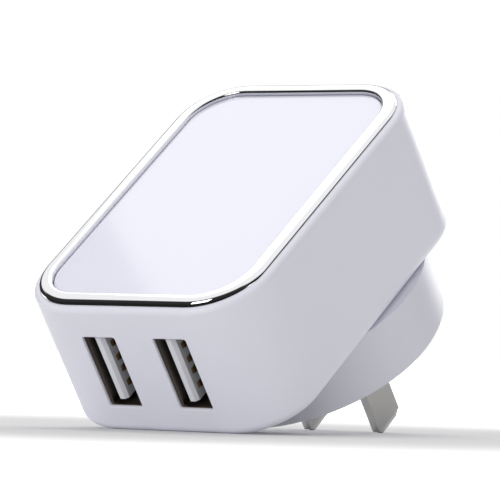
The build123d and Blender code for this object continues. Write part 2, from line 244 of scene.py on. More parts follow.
def run(edge: bmesh.types.BMEdge) -> Vector:
    """The direction of an edge, with every share positive."""
    way = (edge.verts[1].co - edge.verts[0].co).normalized()
    return Vector((abs(way.x), abs(way.y), abs(way.z)))


def close_up(piece: bpy.types.Object, angle: float = 35.0) -> None:
    """Merge doubles, point the faces outwards and shade the curves smooth.

    Args:
        piece: the object in edit mode.
        angle: edges sharper than this many degrees stay crisp.
    """
    bpy.ops.mesh.select_all(action="SELECT")
    bpy.ops.mesh.remove_doubles(threshold=MERGE)
    bpy.ops.mesh.normals_make_consistent(inside=False)
    leave_edit()
    only(piece)
    bpy.ops.object.shade_smooth_by_angle(angle=math.radians(angle))


def join(pieces: Iterable[bpy.types.Object], name: str) -> bpy.types.Object:
    """Join pieces into one object of that name."""
    pieces = list(pieces)
    leave_edit()
    only(pieces[0])
    for piece in pieces:
        piece.select_set(True)
    bpy.ops.object.join()
    joined = bpy.context.object
    joined.name = name
    return joined


def report(piece: bpy.types.Object, made: str) -> None:
    """Log a piece and how it was made."""
    LOG.info("%s: %s, %d faces", piece.name, made, len(piece.data.polygons))


# ---------------------------------------------------------------- effects

class Effects:
    """The effects that several finishes share, each a node group built once."""

    def __init__(self) -> None:
        """Build every group."""
        self.tone = self._tone()
        self.haze = self._haze()
        self.grain = self._grain()
        self.brushing = self._brushing()
        self.turns = self._turns()
        self.dust = self._dust()
        self.scuffs = self._scuffs()

    def _open(
        self, name: str, inputs: dict[str, str], outputs: dict[str, str]
    ) -> tuple[bpy.types.NodeTree, bpy.types.Node, bpy.types.Node]:
        """Start a group with named sockets.

        Args:
            name: the group's name.
            inputs: name and kind of each input, such as Float, Color or Vector.
            outputs: name and kind of each output.

        Returns:
            The group's tree, its input node and its output node.
        """
        tree = bpy.data.node_groups.new(name, "ShaderNodeTree")
        for label, kind in inputs.items():
            tree.interface.new_socket(name=label, in_out="INPUT", socket_type=f"NodeSocket{kind}")
        for label, kind in outputs.items():
            tree.interface.new_socket(name=label, in_out="OUTPUT", socket_type=f"NodeSocket{kind}")
        return tree, tree.nodes.new("NodeGroupInput"), tree.nodes.new("NodeGroupOutput")

    def _tone(self) -> bpy.types.NodeTree:
        """Slow drift of a colour, with a finer mottle under it."""
        tree, given, out = self._open(
            "tone_drift",
            {"Vector": "Vector", "Colour": "Color", "Spread": "Float", "Scale": "Float"},
            {"Colour": "Color"},
        )
        noise = add(tree, "ShaderNodeTexNoise", Detail=4.0, Roughness=0.6)
        link(tree, given, "Vector", noise, "Vector")
        link(tree, given, "Scale", noise, "Scale")
        centred = maths(tree, "SUBTRACT", (noise, "Fac"), 0.5)
        swing = maths(tree, "MULTIPLY", (centred, "Value"), (given, "Spread"))
        factor = maths(tree, "MULTIPLY_ADD", (swing, "Value"), 2.0, 1.0)
        scaled = add(tree, "ShaderNodeVectorMath", operation="SCALE")
        link(tree, given, "Colour", scaled, 0)
        link(tree, factor, "Value", scaled, "Scale")
        link(tree, scaled, "Vector", out, "Colour")
        return tree

    def _haze(self) -> bpy.types.NodeTree:
        """Patches of slightly duller and brighter gloss, as from handling."""
        tree, given, out = self._open(
            "gloss_haze",
            {"Vector": "Vector", "Roughness": "Float", "Spread": "Float", "Scale": "Float"},
            {"Roughness": "Float"},
        )
        noise = add(tree, "ShaderNodeTexNoise", Detail=5.0, Roughness=0.55)
        link(tree, given, "Vector", noise, "Vector")
        link(tree, given, "Scale", noise, "Scale")
        centred = maths(tree, "SUBTRACT", (noise, "Fac"), 0.5)
        swing = maths(tree, "MULTIPLY", (centred, "Value"), (given, "Spread"))
        total = maths(tree, "MULTIPLY_ADD", (swing, "Value"), 2.0, (given, "Roughness"))
        total.use_clamp = True
        link(tree, total, "Value", out, "Roughness")
        return tree

    def _grain(self) -> bpy.types.NodeTree:
        """Fine spark-eroded grain of a moulded surface."""
        tree, given, out = self._open(
            "moulded_grain", {"Vector": "Vector", "Scale": "Float"}, {"Height": "Float"}
        )
        cells = add(tree, "ShaderNodeTexVoronoi", feature="SMOOTH_F1")
        noise = add(tree, "ShaderNodeTexNoise", Detail=2.0)
        for node in (cells, noise):
            link(tree, given, "Vector", node, "Vector")
            link(tree, given, "Scale", node, "Scale")
        both = maths(tree, "ADD", (cells, "Distance"), (noise, "Fac"))
        half = maths(tree, "MULTIPLY", (both, "Value"), 0.5)
        link(tree, half, "Value", out, "Height")
        return tree

    def _brushing(self) -> bpy.types.NodeTree:
        """Fine straight scratches that run along the vector's Z."""
        tree, given, out = self._open(
            "brushed_lines",
            {"Vector": "Vector", "Scale": "Float"},
            {"Height": "Float", "Streak": "Float"},
        )
        stretch = add(tree, "ShaderNodeVectorMath", operation="MULTIPLY")
        stretch.inputs[1].default_value = BRUSH_STRETCH
        link(tree, given, "Vector", stretch, 0)
        noise = add(tree, "ShaderNodeTexNoise", Detail=6.0, Roughness=0.7)
        link(tree, stretch, "Vector", noise, "Vector")
        link(tree, given, "Scale", noise, "Scale")
        link(tree, noise, "Fac", out, "Height")
        bands = ramp(tree, (noise, "Fac"), STREAK_BAND)
        link(tree, bands, "Result", out, "Streak")
        return tree

    def _turns(self) -> bpy.types.NodeTree:
        """Ridges that repeat with height, as turns of wire or tape do."""
        tree, given, out = self._open(
            "wound_turns", {"Vector": "Vector", "Pitch": "Float"}, {"Height": "Float"}
        )
        split = add(tree, "ShaderNodeSeparateXYZ")
        link(tree, given, "Vector", split, 0)
        count = maths(tree, "DIVIDE", (split, "Z"), (given, "Pitch"))
        angle = maths(tree, "MULTIPLY", (count, "Value"), math.pi)
        wave = maths(tree, "SINE", (angle, "Value"))
        ridge = maths(tree, "ABSOLUTE", (wave, "Value"))
        link(tree, ridge, "Value", out, "Height")
        return tree

    def _dust(self) -> bpy.types.NodeTree:
        """A thin veil of pale dust on what faces up."""
        tree, given, out = self._open(
            "settled_dust",
            {"Vector": "Vector", "Colour": "Color", "Amount": "Float"},
            {"Colour": "Color", "Mask": "Float"},
        )
        shape = add(tree, "ShaderNodeNewGeometry")
        split = add(tree, "ShaderNodeSeparateXYZ")
        link(tree, shape, "Normal", split, 0)
        up = ramp(tree, (split, "Z"), DUST_SLOPE)
        noise = add(tree, "ShaderNodeTexNoise", Detail=8.0, Roughness=0.7)
        noise.inputs["Scale"].default_value = DUST_SCALE
        link(tree, given, "Vector", noise, "Vector")
        specks = ramp(tree, (noise, "Fac"), DUST_PATCH)
        lying = maths(tree, "MULTIPLY", (up, "Result"), (specks, "Result"))
        mask = maths(tree, "MULTIPLY", (lying, "Value"), (given, "Amount"))
        mixer = add(tree, "ShaderNodeMix", data_type="RGBA")
        mixer.inputs[7].default_value = DUST_GREY
        link(tree, mask, "Value", mixer, 0)
        link(tree, given, "Colour", mixer, 6)
        tree.links.new(mixer.outputs[2], out.inputs["Colour"])
        link(tree, mask, "Value", out, "Mask")
        return tree

    def _scuffs(self) -> bpy.types.NodeTree:
        """Sparse, hair-thin scuffs, as a mask."""
        tree, given, out = self._open(
            "hair_scuffs", {"Vector": "Vector", "Scale": "Float"}, {"Mask": "Float"}
        )
        bent = add(tree, "ShaderNodeTexNoise", Detail=1.0)
        link(tree, given, "Vector", bent, "Vector")
        link(tree, given, "Scale", bent, "Scale")
        lines = add(tree, "ShaderNodeTexVoronoi", feature="DISTANCE_TO_EDGE")
        link(tree, bent, "Color", lines, "Vector")
        lines.inputs["Scale"].default_value = 9.0
        thin = ramp(tree, (lines, "Distance"), SCUFF_WIDTH)
        link(tree, thin, "Result", out, "Mask")
        return tree


def add(tree: bpy.types.NodeTree, kind: str, **values: object) -> bpy.types.Node:
    """Add a node and set its properties or its sockets.

    Args:
        tree: the tree that takes the node.
        kind: the node's type name.
        values: a property of the node, or the default of a socket of that name.

    Returns:
        The new node.
    """
    node = tree.nodes.new(kind)
    for name, value in values.items():
        if hasattr(node, name) and name not in node.inputs:
            setattr(node, name, value)
        else:
            node.inputs[name].default_value = value
    return node


def link(
    tree: bpy.types.NodeTree,
    giver: bpy.types.Node,
    output: str | int,
    taker: bpy.types.Node,
    inlet: str | int,
) -> None:
    """Join one node's output to another's input, each by name or number."""
    tree.links.new(giver.outputs[output], taker.inputs[inlet])


def maths(tree: bpy.types.NodeTree, operation: str, *terms: object) -> bpy.types.Node:
    """Add a Math node whose terms are numbers or (node, output) pairs."""
    node = tree.nodes.new("ShaderNodeMath")
    node.operation = operation
    for index, term in enumerate(terms):
        if isinstance(term, tuple):
            tree.links.new(term[0].outputs[term[1]], node.inputs[index])
        else:
            node.inputs[index].default_value = term
    return node


def ramp(
    tree: bpy.types.NodeTree,
    source: Socket,
    limits: tuple[float, float],
    results: tuple[float, float] = (0.0, 1.0),
    smooth: bool = False,
) -> bpy.types.Node:
    """Add a Map Range node.

    Args:
        tree: the tree that takes the node.
        source: the value that is mapped.
        limits: values of the source at the two ends.
        results: what comes out at the two ends.
        smooth: whether it eases in and out.

    Returns:
        The node, whose output is called Result.
    """
    node = tree.nodes.new("ShaderNodeMapRange")
    node.interpolation_type = "SMOOTHSTEP" if smooth else "LINEAR"
    for name, value in zip(("From Min", "From Max", "To Min", "To Max"), (*limits, *results)):
        node.inputs[name].default_value = value
    tree.links.new(source[0].outputs[source[1]], node.inputs["Value"])
    return node


@dataclass
class FinishShop:
    """Makes the material of each finish once, from the shared effects.

    Args:
        bench: the charger's axes, which patterns follow.
        effects: the shared node groups.
    """

    bench: Bench
    effects: Effects
    made: dict[str, bpy.types.Material] = field(default_factory=dict)

    tin: tuple[float, float, float, float] = (0.72, 0.72, 0.7, 1.0)
    aluminium: tuple[float, float, float, float] = (0.78, 0.79, 0.8, 1.0)

    def material(self, finish: Finish) -> bpy.types.Material:
        """The material of a finish, made the first time it is asked for."""
        if finish.name not in self.made:
            self.made[finish.name] = self._make(finish)
        return self.made[finish.name]

    def dress(self, piece: bpy.types.Object, finish: Finish) -> None:
        """Give every material slot of a piece one finish."""
        material = self.material(finish)
        if not piece.material_slots:
            piece.data.materials.append(material)
        for slot in piece.material_slots:
            slot.material = material

    def _group(
        self,
        tree: bpy.types.NodeTree,
        group: bpy.types.NodeTree,
        place: bpy.types.Node,
        **values: object,
    ) -> bpy.types.Node:
        """Place a shared effect in a material.

        Args:
            tree: the material's tree.
            group: the effect.
            place: node that gives the charger's own coordinates.
            values: the effect's other inputs, by name.

        Returns:
            The effect's node.
        """
        node = tree.nodes.new("ShaderNodeGroup")
        node.node_tree = group
        tree.links.new(place.outputs["Vector"], node.inputs["Vector"])
        for name, value in values.items():
            node.inputs[name].default_value = value
        return node

    def _make(self, finish: Finish) -> bpy.types.Material:
        """Build one material.

        Args:
            finish: the finish to build.

        Returns:
            A material whose colour, gloss and relief vary over the surface.
        """
        material = bpy.data.materials.new(finish.name)
        material.use_nodes = True
        tree = material.node_tree
        tree.nodes.clear()
        out = tree.nodes.new("ShaderNodeOutputMaterial")
        shader = tree.nodes.new("ShaderNodeBsdfPrincipled")
        link(tree, shader, "BSDF", out, "Surface")
        shader.inputs["Coat Weight"].default_value = finish.coat
        shader.inputs["Coat Roughness"].default_value = 0.04
        shader.inputs["Metallic"].default_value = finish.metallic

        coordinates = tree.nodes.new("ShaderNodeTexCoord")
        place = tree.nodes.new("ShaderNodeMapping")
        place.vector_type = "TEXTURE"
        place.inputs["Location"].default_value = self.bench.origin
        place.inputs["Rotation"].default_value = (self.bench.lean, 0.0, 0.0)
        link(tree, coordinates, "Object", place, "Vector")

        tone = self._group(
            tree, self.effects.tone, place,
            Colour=(*finish.colour, 1.0), Spread=finish.tone, Scale=TONE_SCALE,
        )
        colour = (tone, "Colour")
        haze = self._group(
            tree, self.effects.haze, place,
            Roughness=finish.roughness, Spread=finish.haze, Scale=HAZE_SCALE,
        )
        rough = (haze, "Roughness")
        height = self._relief(tree, finish, place)
        if finish.texture is Texture.MASKED:
            colour = self._tracks(tree, place, colour)
        if finish.texture is Texture.BRUSHED:
            rough = (maths(tree, "MULTIPLY_ADD", height, 0.25, rough), "Value")
        if finish.texture is Texture.POLISHED:
            scuffs = self._group(tree, self.effects.scuffs, place, Scale=SCUFF_SCALE)
            rough = (maths(tree, "MULTIPLY_ADD", (scuffs, "Mask"), 0.05, rough), "Value")
        if finish.dust > 0.0:
            dust = self._group(tree, self.effects.dust, place, Amount=finish.dust)
            tree.links.new(colour[0].outputs[colour[1]], dust.inputs["Colour"])
            colour = (dust, "Colour")
            rough = (maths(tree, "MULTIPLY_ADD", (dust, "Mask"), 0.4, rough), "Value")
        metal = None
        split = tree.nodes.new("ShaderNodeSeparateXYZ")
        link(tree, place, "Vector", split, 0)
        if finish.tinned_below is not None:
            legs = maths(tree, "LESS_THAN", (split, "Z"), finish.tinned_below)
            colour, rough, metal = self._bare(tree, legs, colour, rough, metal, self.tin)
        if finish.crown_above is not None:
            crown = maths(tree, "GREATER_THAN", (split, "Z"), finish.crown_above)
            colour, rough, metal = self._bare(tree, crown, colour, rough, metal, self.aluminium)
        tree.links.new(colour[0].outputs[colour[1]], shader.inputs["Base Color"])
        tree.links.new(rough[0].outputs[rough[1]], shader.inputs["Roughness"])
        if metal is not None:
            tree.links.new(metal.outputs["Value"], shader.inputs["Metallic"])

        bump = add(tree, "ShaderNodeBump", Distance=finish.relief)
        tree.links.new(height[0].outputs[height[1]], bump.inputs["Height"])
        link(tree, bump, "Normal", shader, "Normal")
        return material

    def _relief(
        self, tree: bpy.types.NodeTree, finish: Finish, place: bpy.types.Node
    ) -> Socket:
        """The height that a finish's texture gives.

        Args:
            tree: the material's tree.
            finish: the finish.
            place: node that gives the charger's own coordinates.

        Returns:
            The node and output that carry the height.
        """
        if finish.texture is Texture.BRUSHED:
            node = self._group(tree, self.effects.brushing, place, Scale=1.0 / finish.grain)
        elif finish.texture is Texture.WOUND:
            node = self._group(tree, self.effects.turns, place, Pitch=finish.grain)
        else:
            node = self._group(tree, self.effects.grain, place, Scale=1.0 / finish.grain)
        return node, "Height"

    def _bare(
        self,
        tree: bpy.types.NodeTree,
        mask: bpy.types.Node,
        colour: Socket,
        rough: Socket,
        metal: bpy.types.Node | None,
        bare: tuple[float, float, float, float],
    ) -> tuple[Socket, Socket, bpy.types.Node]:
        """Show bare metal where a mask says so.

        Args:
            tree: the material's tree.
            mask: node whose value is 1 where the metal shows.
            colour: (node, output) of the colour elsewhere.
            rough: (node, output) of the roughness elsewhere.
            metal: node of the metal mask so far, or None.
            bare: colour of the metal.

        Returns:
            The new colour, roughness and metal mask.
        """
        mixer = add(tree, "ShaderNodeMix", data_type="RGBA")
        link(tree, mask, "Value", mixer, 0)
        tree.links.new(colour[0].outputs[colour[1]], mixer.inputs[6])
        mixer.inputs[7].default_value = bare
        smoother = maths(tree, "MULTIPLY_ADD", (mask, "Value"), -0.12, rough)
        total = mask if metal is None else maths(tree, "MAXIMUM", (mask, "Value"), (metal, "Value"))
        return (mixer, 2), (smoother, "Value"), total

    def _tracks(
        self, tree: bpy.types.NodeTree, place: bpy.types.Node, colour: Socket
    ) -> Socket:
        """Copper areas that show through the board's lacquer, slightly paler.

        Args:
            tree: the material's tree.
            place: node that gives the charger's own coordinates.
            colour: the lacquer's colour away from the copper.

        Returns:
            The node and output that carry the new colour.
        """
        tracks = add(tree, "ShaderNodeTexBrick", offset=0.0, squash=0.35, squash_frequency=3)
        tracks.inputs["Scale"].default_value = TRACK_SCALE
        tracks.inputs["Mortar Size"].default_value = TRACK_GAP
        link(tree, place, "Vector", tracks, "Vector")
        mask = maths(tree, "SUBTRACT", 1.0, (tracks, "Fac"))
        mixer = add(tree, "ShaderNodeMix", data_type="RGBA")
        link(tree, mask, "Value", mixer, 0)
        tree.links.new(colour[0].outputs[colour[1]], mixer.inputs[6])
        mixer.inputs[7].default_value = TRACK_GREEN
        return mixer, 2


# ---------------------------------------------------------------- finishes

HOUSING = Finish("housing_satin", (0.86, 0.86, 0.95), 0.40, grain=0.14 * MM, relief=0.006 * MM,
                 tone=0.012, haze=0.05, dust=0.05)
INNER = Finish("inner_white", (0.72, 0.72, 0.73), 0.55, grain=0.2 * MM, relief=0.006 * MM)
FACE = Finish("face_gloss", (0.845, 0.85, 0.975), 0.07, coat=0.3, texture=Texture.POLISHED,
              grain=1.5 * MM, relief=0.0008 * MM, tone=0.008, haze=0.02, dust=0.03)
CHROME = Finish("ring_chrome", (0.86, 0.86, 0.88), 0.05, metallic=1.0, texture=Texture.POLISHED,
                grain=1.2 * MM, relief=0.0006 * MM, tone=0.01, haze=0.02)
PLUG = Finish("plug_satin", (0.76, 0.76, 0.84), 0.42, grain=0.16 * MM, relief=0.007 * MM,
              tone=0.015, haze=0.06, dust=0.05)
NICKEL = Finish("blade_nickel", (0.56, 0.55, 0.54), 0.26, metallic=1.0, texture=Texture.BRUSHED,
                grain=0.12 * MM, relief=0.002 * MM, tone=0.04, haze=0.05)
LAMINATE = Finish("board_mask", (0.03, 0.15, 0.05), 0.3, texture=Texture.MASKED, coat=0.3,
                  grain=0.4 * MM, relief=0.006 * MM, tone=0.08)
# Dark brown-black colour: painted shade inside the sockets, on the shells and their spring leaves.
SHELL_STEEL_PAINTED_SHADE = Finish("shell_steel", (0.17, 0.14, 0.12), 0.3, metallic=1.0, texture=Texture.BRUSHED,
               grain=0.18 * MM, relief=0.002 * MM, tone=0.05, haze=0.06)
TONGUE = Finish("tongue_plastic", (0.82, 0.83, 0.88), 0.45, grain=0.2 * MM, relief=0.004 * MM)
GOLD = Finish("contact_gold", (0.5, 0.36, 0.2), 0.25, metallic=1.0, texture=Texture.BRUSHED,
              grain=0.1 * MM, relief=0.001 * MM)
FERRITE = Finish("ferrite_grey", (0.05, 0.05, 0.055), 0.6, texture=Texture.SINTERED,
                 grain=0.12 * MM, relief=0.02 * MM, tone=0.3)
PHENOLIC = Finish("bobbin_black", (0.02, 0.02, 0.02), 0.45, grain=0.2 * MM, relief=0.006 * MM,
                  tinned_below=BOARD_TOP)
TAPE = Finish("winding_tape", (0.75, 0.5, 0.03), 0.25, texture=Texture.WOUND, grain=2.4 * MM,
              relief=0.05 * MM, tone=0.05)
DARK_CAN = Finish("can_sleeve_dark", (0.02, 0.02, 0.05), 0.25, grain=0.5 * MM, relief=0.01 * MM,
                  tinned_below=BOARD_TOP, crown_above=16.55 * MM)
GREEN_CAN = Finish("can_sleeve_green", (0.01, 0.07, 0.05), 0.25, grain=0.5 * MM,
                   relief=0.01 * MM, tinned_below=BOARD_TOP, crown_above=15.55 * MM)
DRUM = Finish("drum_ferrite", (0.05, 0.05, 0.055), 0.55, texture=Texture.SINTERED,
              grain=0.12 * MM, relief=0.02 * MM, tone=0.3, tinned_below=BOARD_TOP)
COPPER = Finish("enamelled_copper", (0.6, 0.22, 0.08), 0.25, metallic=1.0, texture=Texture.WOUND,
                grain=0.28 * MM, relief=0.12 * MM, tone=0.05, coat=0.4)
RESISTOR = Finish("resistor_coat", (0.05, 0.16, 0.28), 0.5, grain=0.3 * MM, relief=0.02 * MM,
                  tinned_below=BOARD_TOP, crown_above=13.75 * MM)
DISC = Finish("disc_coat", (0.02, 0.08, 0.4), 0.2, grain=1.2 * MM, relief=0.05 * MM,
              tinned_below=BOARD_TOP, coat=0.3)
EPOXY = Finish("chip_epoxy", (0.025, 0.025, 0.028), 0.5, grain=0.1 * MM, relief=0.008 * MM,
               tone=0.15)
CERAMIC = Finish("chip_ceramic", (0.35, 0.27, 0.18), 0.4, grain=0.2 * MM, relief=0.01 * MM,
                 tone=0.2)


# ---------------------------------------------------------------- enclosure

@dataclass
class Enclosure:
    """Housing, front cover, glossy plate and the bright ring round it.

    Args:
        bench: the charger's axes.
        shop: where finishes come from.
        nodes: the CAD nodes by name.
    """

    bench: Bench
    shop: FinishShop
    nodes: dict[str, bpy.types.Object]
    width: float = 41.0
    length: float = 59.0
    corner: float = 10.1
    ring_inset: float = 0.95
    ring_width: float = 2.2
    ring_seat: float = 21.5
    ring_top: float = 23.495
    ring_round: float = 1.05
    ring_inner_round: float = 0.45
    corner_steps: int = 40
    round_steps: int = 12

    def build_ring(self) -> bpy.types.Object:
        """The trim ring: a rounded strip whose top is a smooth half round.

        Returns:
            The ring, leaned into place.
        """
        leave_edit()
        bpy.ops.object.select_all(action="DESELECT")
        centre = Vector((0.0, self.length / 2, self.ring_seat)) * MM
        bpy.ops.mesh.primitive_plane_add(size=1.0, location=centre)
        ring = bpy.context.object
        ring.name = "trim_ring_plated"
        across = (self.width - 2 * self.ring_inset) * MM
        along = (self.length - 2 * self.ring_inset) * MM
        ring.scale = (across, along, 1.0)
        bpy.ops.object.transform_apply(location=True, rotation=True, scale=True)
        bpy.ops.object.mode_set(mode="EDIT")
        bpy.ops.mesh.select_mode(type="VERT")
        bpy.ops.mesh.select_all(action="SELECT")
        bpy.ops.mesh.bevel(
            offset=(self.corner - self.ring_inset) * MM,
            segments=self.corner_steps,
            affect="VERTICES",
            profile=0.5,
        )
        bpy.ops.mesh.select_mode(type="FACE")
        bpy.ops.mesh.select_all(action="SELECT")
        bpy.ops.mesh.inset(thickness=self.ring_width * MM, depth=0.0)
        bpy.ops.mesh.delete(type="FACE")
        bpy.ops.mesh.select_all(action="SELECT")
        rise = (self.ring_top - self.ring_seat) * MM
        bpy.ops.mesh.extrude_region_move(TRANSFORM_OT_translate={"value": (0.0, 0.0, rise)})
        bpy.ops.mesh.select_all(action="SELECT")
        bpy.ops.mesh.normals_make_consistent(inside=False)
        top = self.ring_top * MM
        for way, radius in ((1, self.ring_round), (-1, self.ring_inner_round)):
            pick(
                ring,
                Part.EDGE,
                lambda edge, way=way: abs(middle(edge).z - top) < NEAR
                and any(
                    abs(face.normal.z) < 0.01
                    and way * face.normal.dot(middle(edge) - centre) > 0.0
                    for face in edge.link_faces
                ),
            )
            bpy.ops.mesh.bevel(
                offset=radius * MM, segments=self.round_steps, affect="EDGES", profile=0.5
            )
        close_up(ring, 40.0)
        self.bench.set_down(ring)
        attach(ring, BODY)
        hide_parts("trim_ring")
        self.shop.dress(ring, CHROME)
        report(ring, "bevelled, inset and extruded strip")
        return ring

    def dress(self) -> None:
        """Give the moulded pieces their plastics."""
        self.shop.dress(self.nodes["housing"], HOUSING)
        self.shop.dress(self.nodes["front_cover"], INNER)
        self.shop.dress(self.nodes["face_plate"], FACE)


# ---------------------------------------------------------------- plug

@dataclass
class Plug:
    """Round base and its two flat blades.

    Args:
        shop: where finishes come from.
        nodes: the CAD nodes by name.
    """

    shop: FinishShop
    nodes: dict[str, bpy.types.Object]

    def dress(self) -> None:
        """Give the base its plastic and the blades their plating."""
        self.shop.dress(self.nodes["plug_base"], PLUG)
        for side in ("left", "right"):
            self.shop.dress(self.nodes[f"blade_{side}"], NICKEL)


# ---------------------------------------------------------------- sockets

@dataclass
class Sockets:
    """Steel shells, moulded tongues and contacts of the two receptacles.

    Args:
        bench: the charger's axes.
        shop: where finishes come from.
        nodes: the CAD nodes by name.
    """

    bench: Bench
    shop: FinishShop
    nodes: dict[str, bpy.types.Object]
    pitch: float = 12.7
    mouth: float = 0.45
    middle_height: float = 11.3
    shell_width: float = 5.82
    sheet: float = 0.35
    strip_cuts: int = 12
    strip_curl: float = 1.5
    strip_edge: float = 0.05
    leaf_width: float = 2.0
    leaf_length: float = 6.4
    leaf_start: float = 2.2
    leaf_bulge: float = 0.32
    leaf_sheet: float = 0.2
    leaf_spread: float = 5.6
    tip_width: float = 0.9
    tip_length: float = 2.6
    tip_rise: float = 0.34
    tip_start: float = 2.5
    contact_face: float = 0.07
    contact_rows: tuple[float, ...] = (-3.5, -1.0, 1.0, 3.5)

    def _bent_strip(
        self,
        name: str,
        wall_x: float,
        way: int,
        y_from: float,
        length: float,
        width: float,
        height: float,
        bulge: float,
    ) -> bpy.types.Object:
        """A springy strip that lies on a wall and bulges away from it.

        Args:
            name: the new object's name.
            wall_x: where the wall is, across the charger.
            way: 1 if the strip bulges towards +X, -1 towards -X.
            y_from: where the strip starts, from the socket end.
            length: length of the strip.
            width: width of the strip.
            height: middle of the strip above the back plane.
            bulge: how far its middle stands off the wall.

        Returns:
            The strip, in object mode, in the charger's axes.
        """
        thin = self.leaf_sheet / 2
        low = (wall_x - thin, y_from, height - width / 2)
        high = (wall_x + thin, y_from + length, height + width / 2)
        strip = start_box(name, low, high)
        pick(strip, Part.EDGE, lambda edge: run(edge).y > 0.9)
        bpy.ops.mesh.subdivide(number_cuts=self.strip_cuts)
        start, span = y_from * MM, length * MM
        for step in range(1, self.strip_cuts + 1):
            share = step / (self.strip_cuts + 1)
            at = start + span * share
            lift = way * bulge * MM * math.sin(math.pi * share) ** self.strip_curl
            pick(strip, Part.VERT, lambda vert, at=at: abs(vert.co.y - at) < NEAR)
            bpy.ops.transform.translate(value=(lift, 0.0, 0.0))
        pick(strip, Part.EDGE, lambda edge: run(edge).y > 0.7 and len(edge.link_faces) == 2
             and edge.calc_face_angle(0.0) > 1.0)
        bpy.ops.mesh.bevel(offset=self.strip_edge * MM, segments=2, affect="EDGES")
        close_up(strip)
        return strip

    def build_leaves(self, side: str, way: int) -> bpy.types.Object:
        """The spring leaves pressed out of a shell's two wide walls."""
        middle_x = way * self.pitch / 2
        inner = self.shell_width / 2 - self.sheet
        leaves = []
        for wall in (-1, 1):
            for row in (-1, 1):
                leaves.append(
                    self._bent_strip(
                        "leaf",
                        middle_x + wall * (inner - 0.02),
                        -wall,
                        self.mouth + self.leaf_start,
                        self.leaf_length,
                        self.leaf_width,
                        self.middle_height + row * self.leaf_spread / 2,
                        self.leaf_bulge,
                    )
                )
        piece = join(leaves, f"usb_shell_leaves_{side}")
        self._finish(piece, SHELL_STEEL_PAINTED_SHADE)
        return piece

    def build_tips(self, side: str, way: int) -> bpy.types.Object:
        """The raised, springy ends of the four contacts."""
        tips = []
        for row in self.contact_rows:
            tips.append(
                self._bent_strip(
                    "tip",
                    way * self.pitch / 2 + self.contact_face,
                    1,
                    self.tip_start,
                    self.tip_length,
                    self.tip_width,
                    self.middle_height + row,
                    self.tip_rise,
                )
            )
        piece = join(tips, f"usb_contact_tips_{side}")
        self._finish(piece, GOLD)
        return piece

    def _finish(self, piece: bpy.types.Object, finish: Finish) -> None:
        self.bench.set_down(piece)
        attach(piece, BODY)
        self.shop.dress(piece, finish)
        report(piece, "bent and bevelled strips")

    def build(self) -> None:
        """Make the small springs of both receptacles."""
        for side, way in (("left", -1), ("right", 1)):
            self.build_leaves(side, way)
            self.build_tips(side, way)

    def dress(self) -> None:
        """Give shells, tongues and contacts their finishes."""
        for side in ("left", "right"):
            self.shop.dress(self.nodes[f"usb_shell_{side}"], SHELL_STEEL_PAINTED_SHADE)
            self.shop.dress(self.nodes[f"usb_tongue_{side}"], TONGUE)
            self.shop.dress(self.nodes[f"usb_contacts_{side}"], GOLD)


# ---------------------------------------------------------------- works

@dataclass
class Works:
    """The circuit board and what stands on it.

    Args:
        shop: where finishes come from.
        nodes: the CAD nodes by name.
    """

    shop: FinishShop
    nodes: dict[str, bpy.types.Object]
    finishes: dict[str, Finish] = field(
        default_factory=lambda: {
            "circuit_board": LAMINATE,
            "transformer_core": FERRITE,
            "transformer_bobbin": PHENOLIC,
            "transformer_winding": TAPE,
            "bulk_capacitor_front": DARK_CAN,
            "bulk_capacitor_rear": DARK_CAN,
            "output_capacitor_left": GREEN_CAN,
            "output_capacitor_right": GREEN_CAN,
            "input_choke": DRUM,
            "choke_winding": COPPER,
            "fuse_resistor": RESISTOR,
            "interference_capacitor": DISC,
            "bridge_rectifier": EPOXY,
            "controller_chip": EPOXY,
            "output_diode": EPOXY,
            "optocoupler": EPOXY,
            "chip_parts": CERAMIC,
        }
    )

    def dress(self) -> None:
        """Give every component its finish."""
        for name, finish in self.finishes.items():
            self.shop.dress(self.nodes[name], finish)
            report(self.nodes[name], finish.name)


# ---------------------------------------------------------------- studio

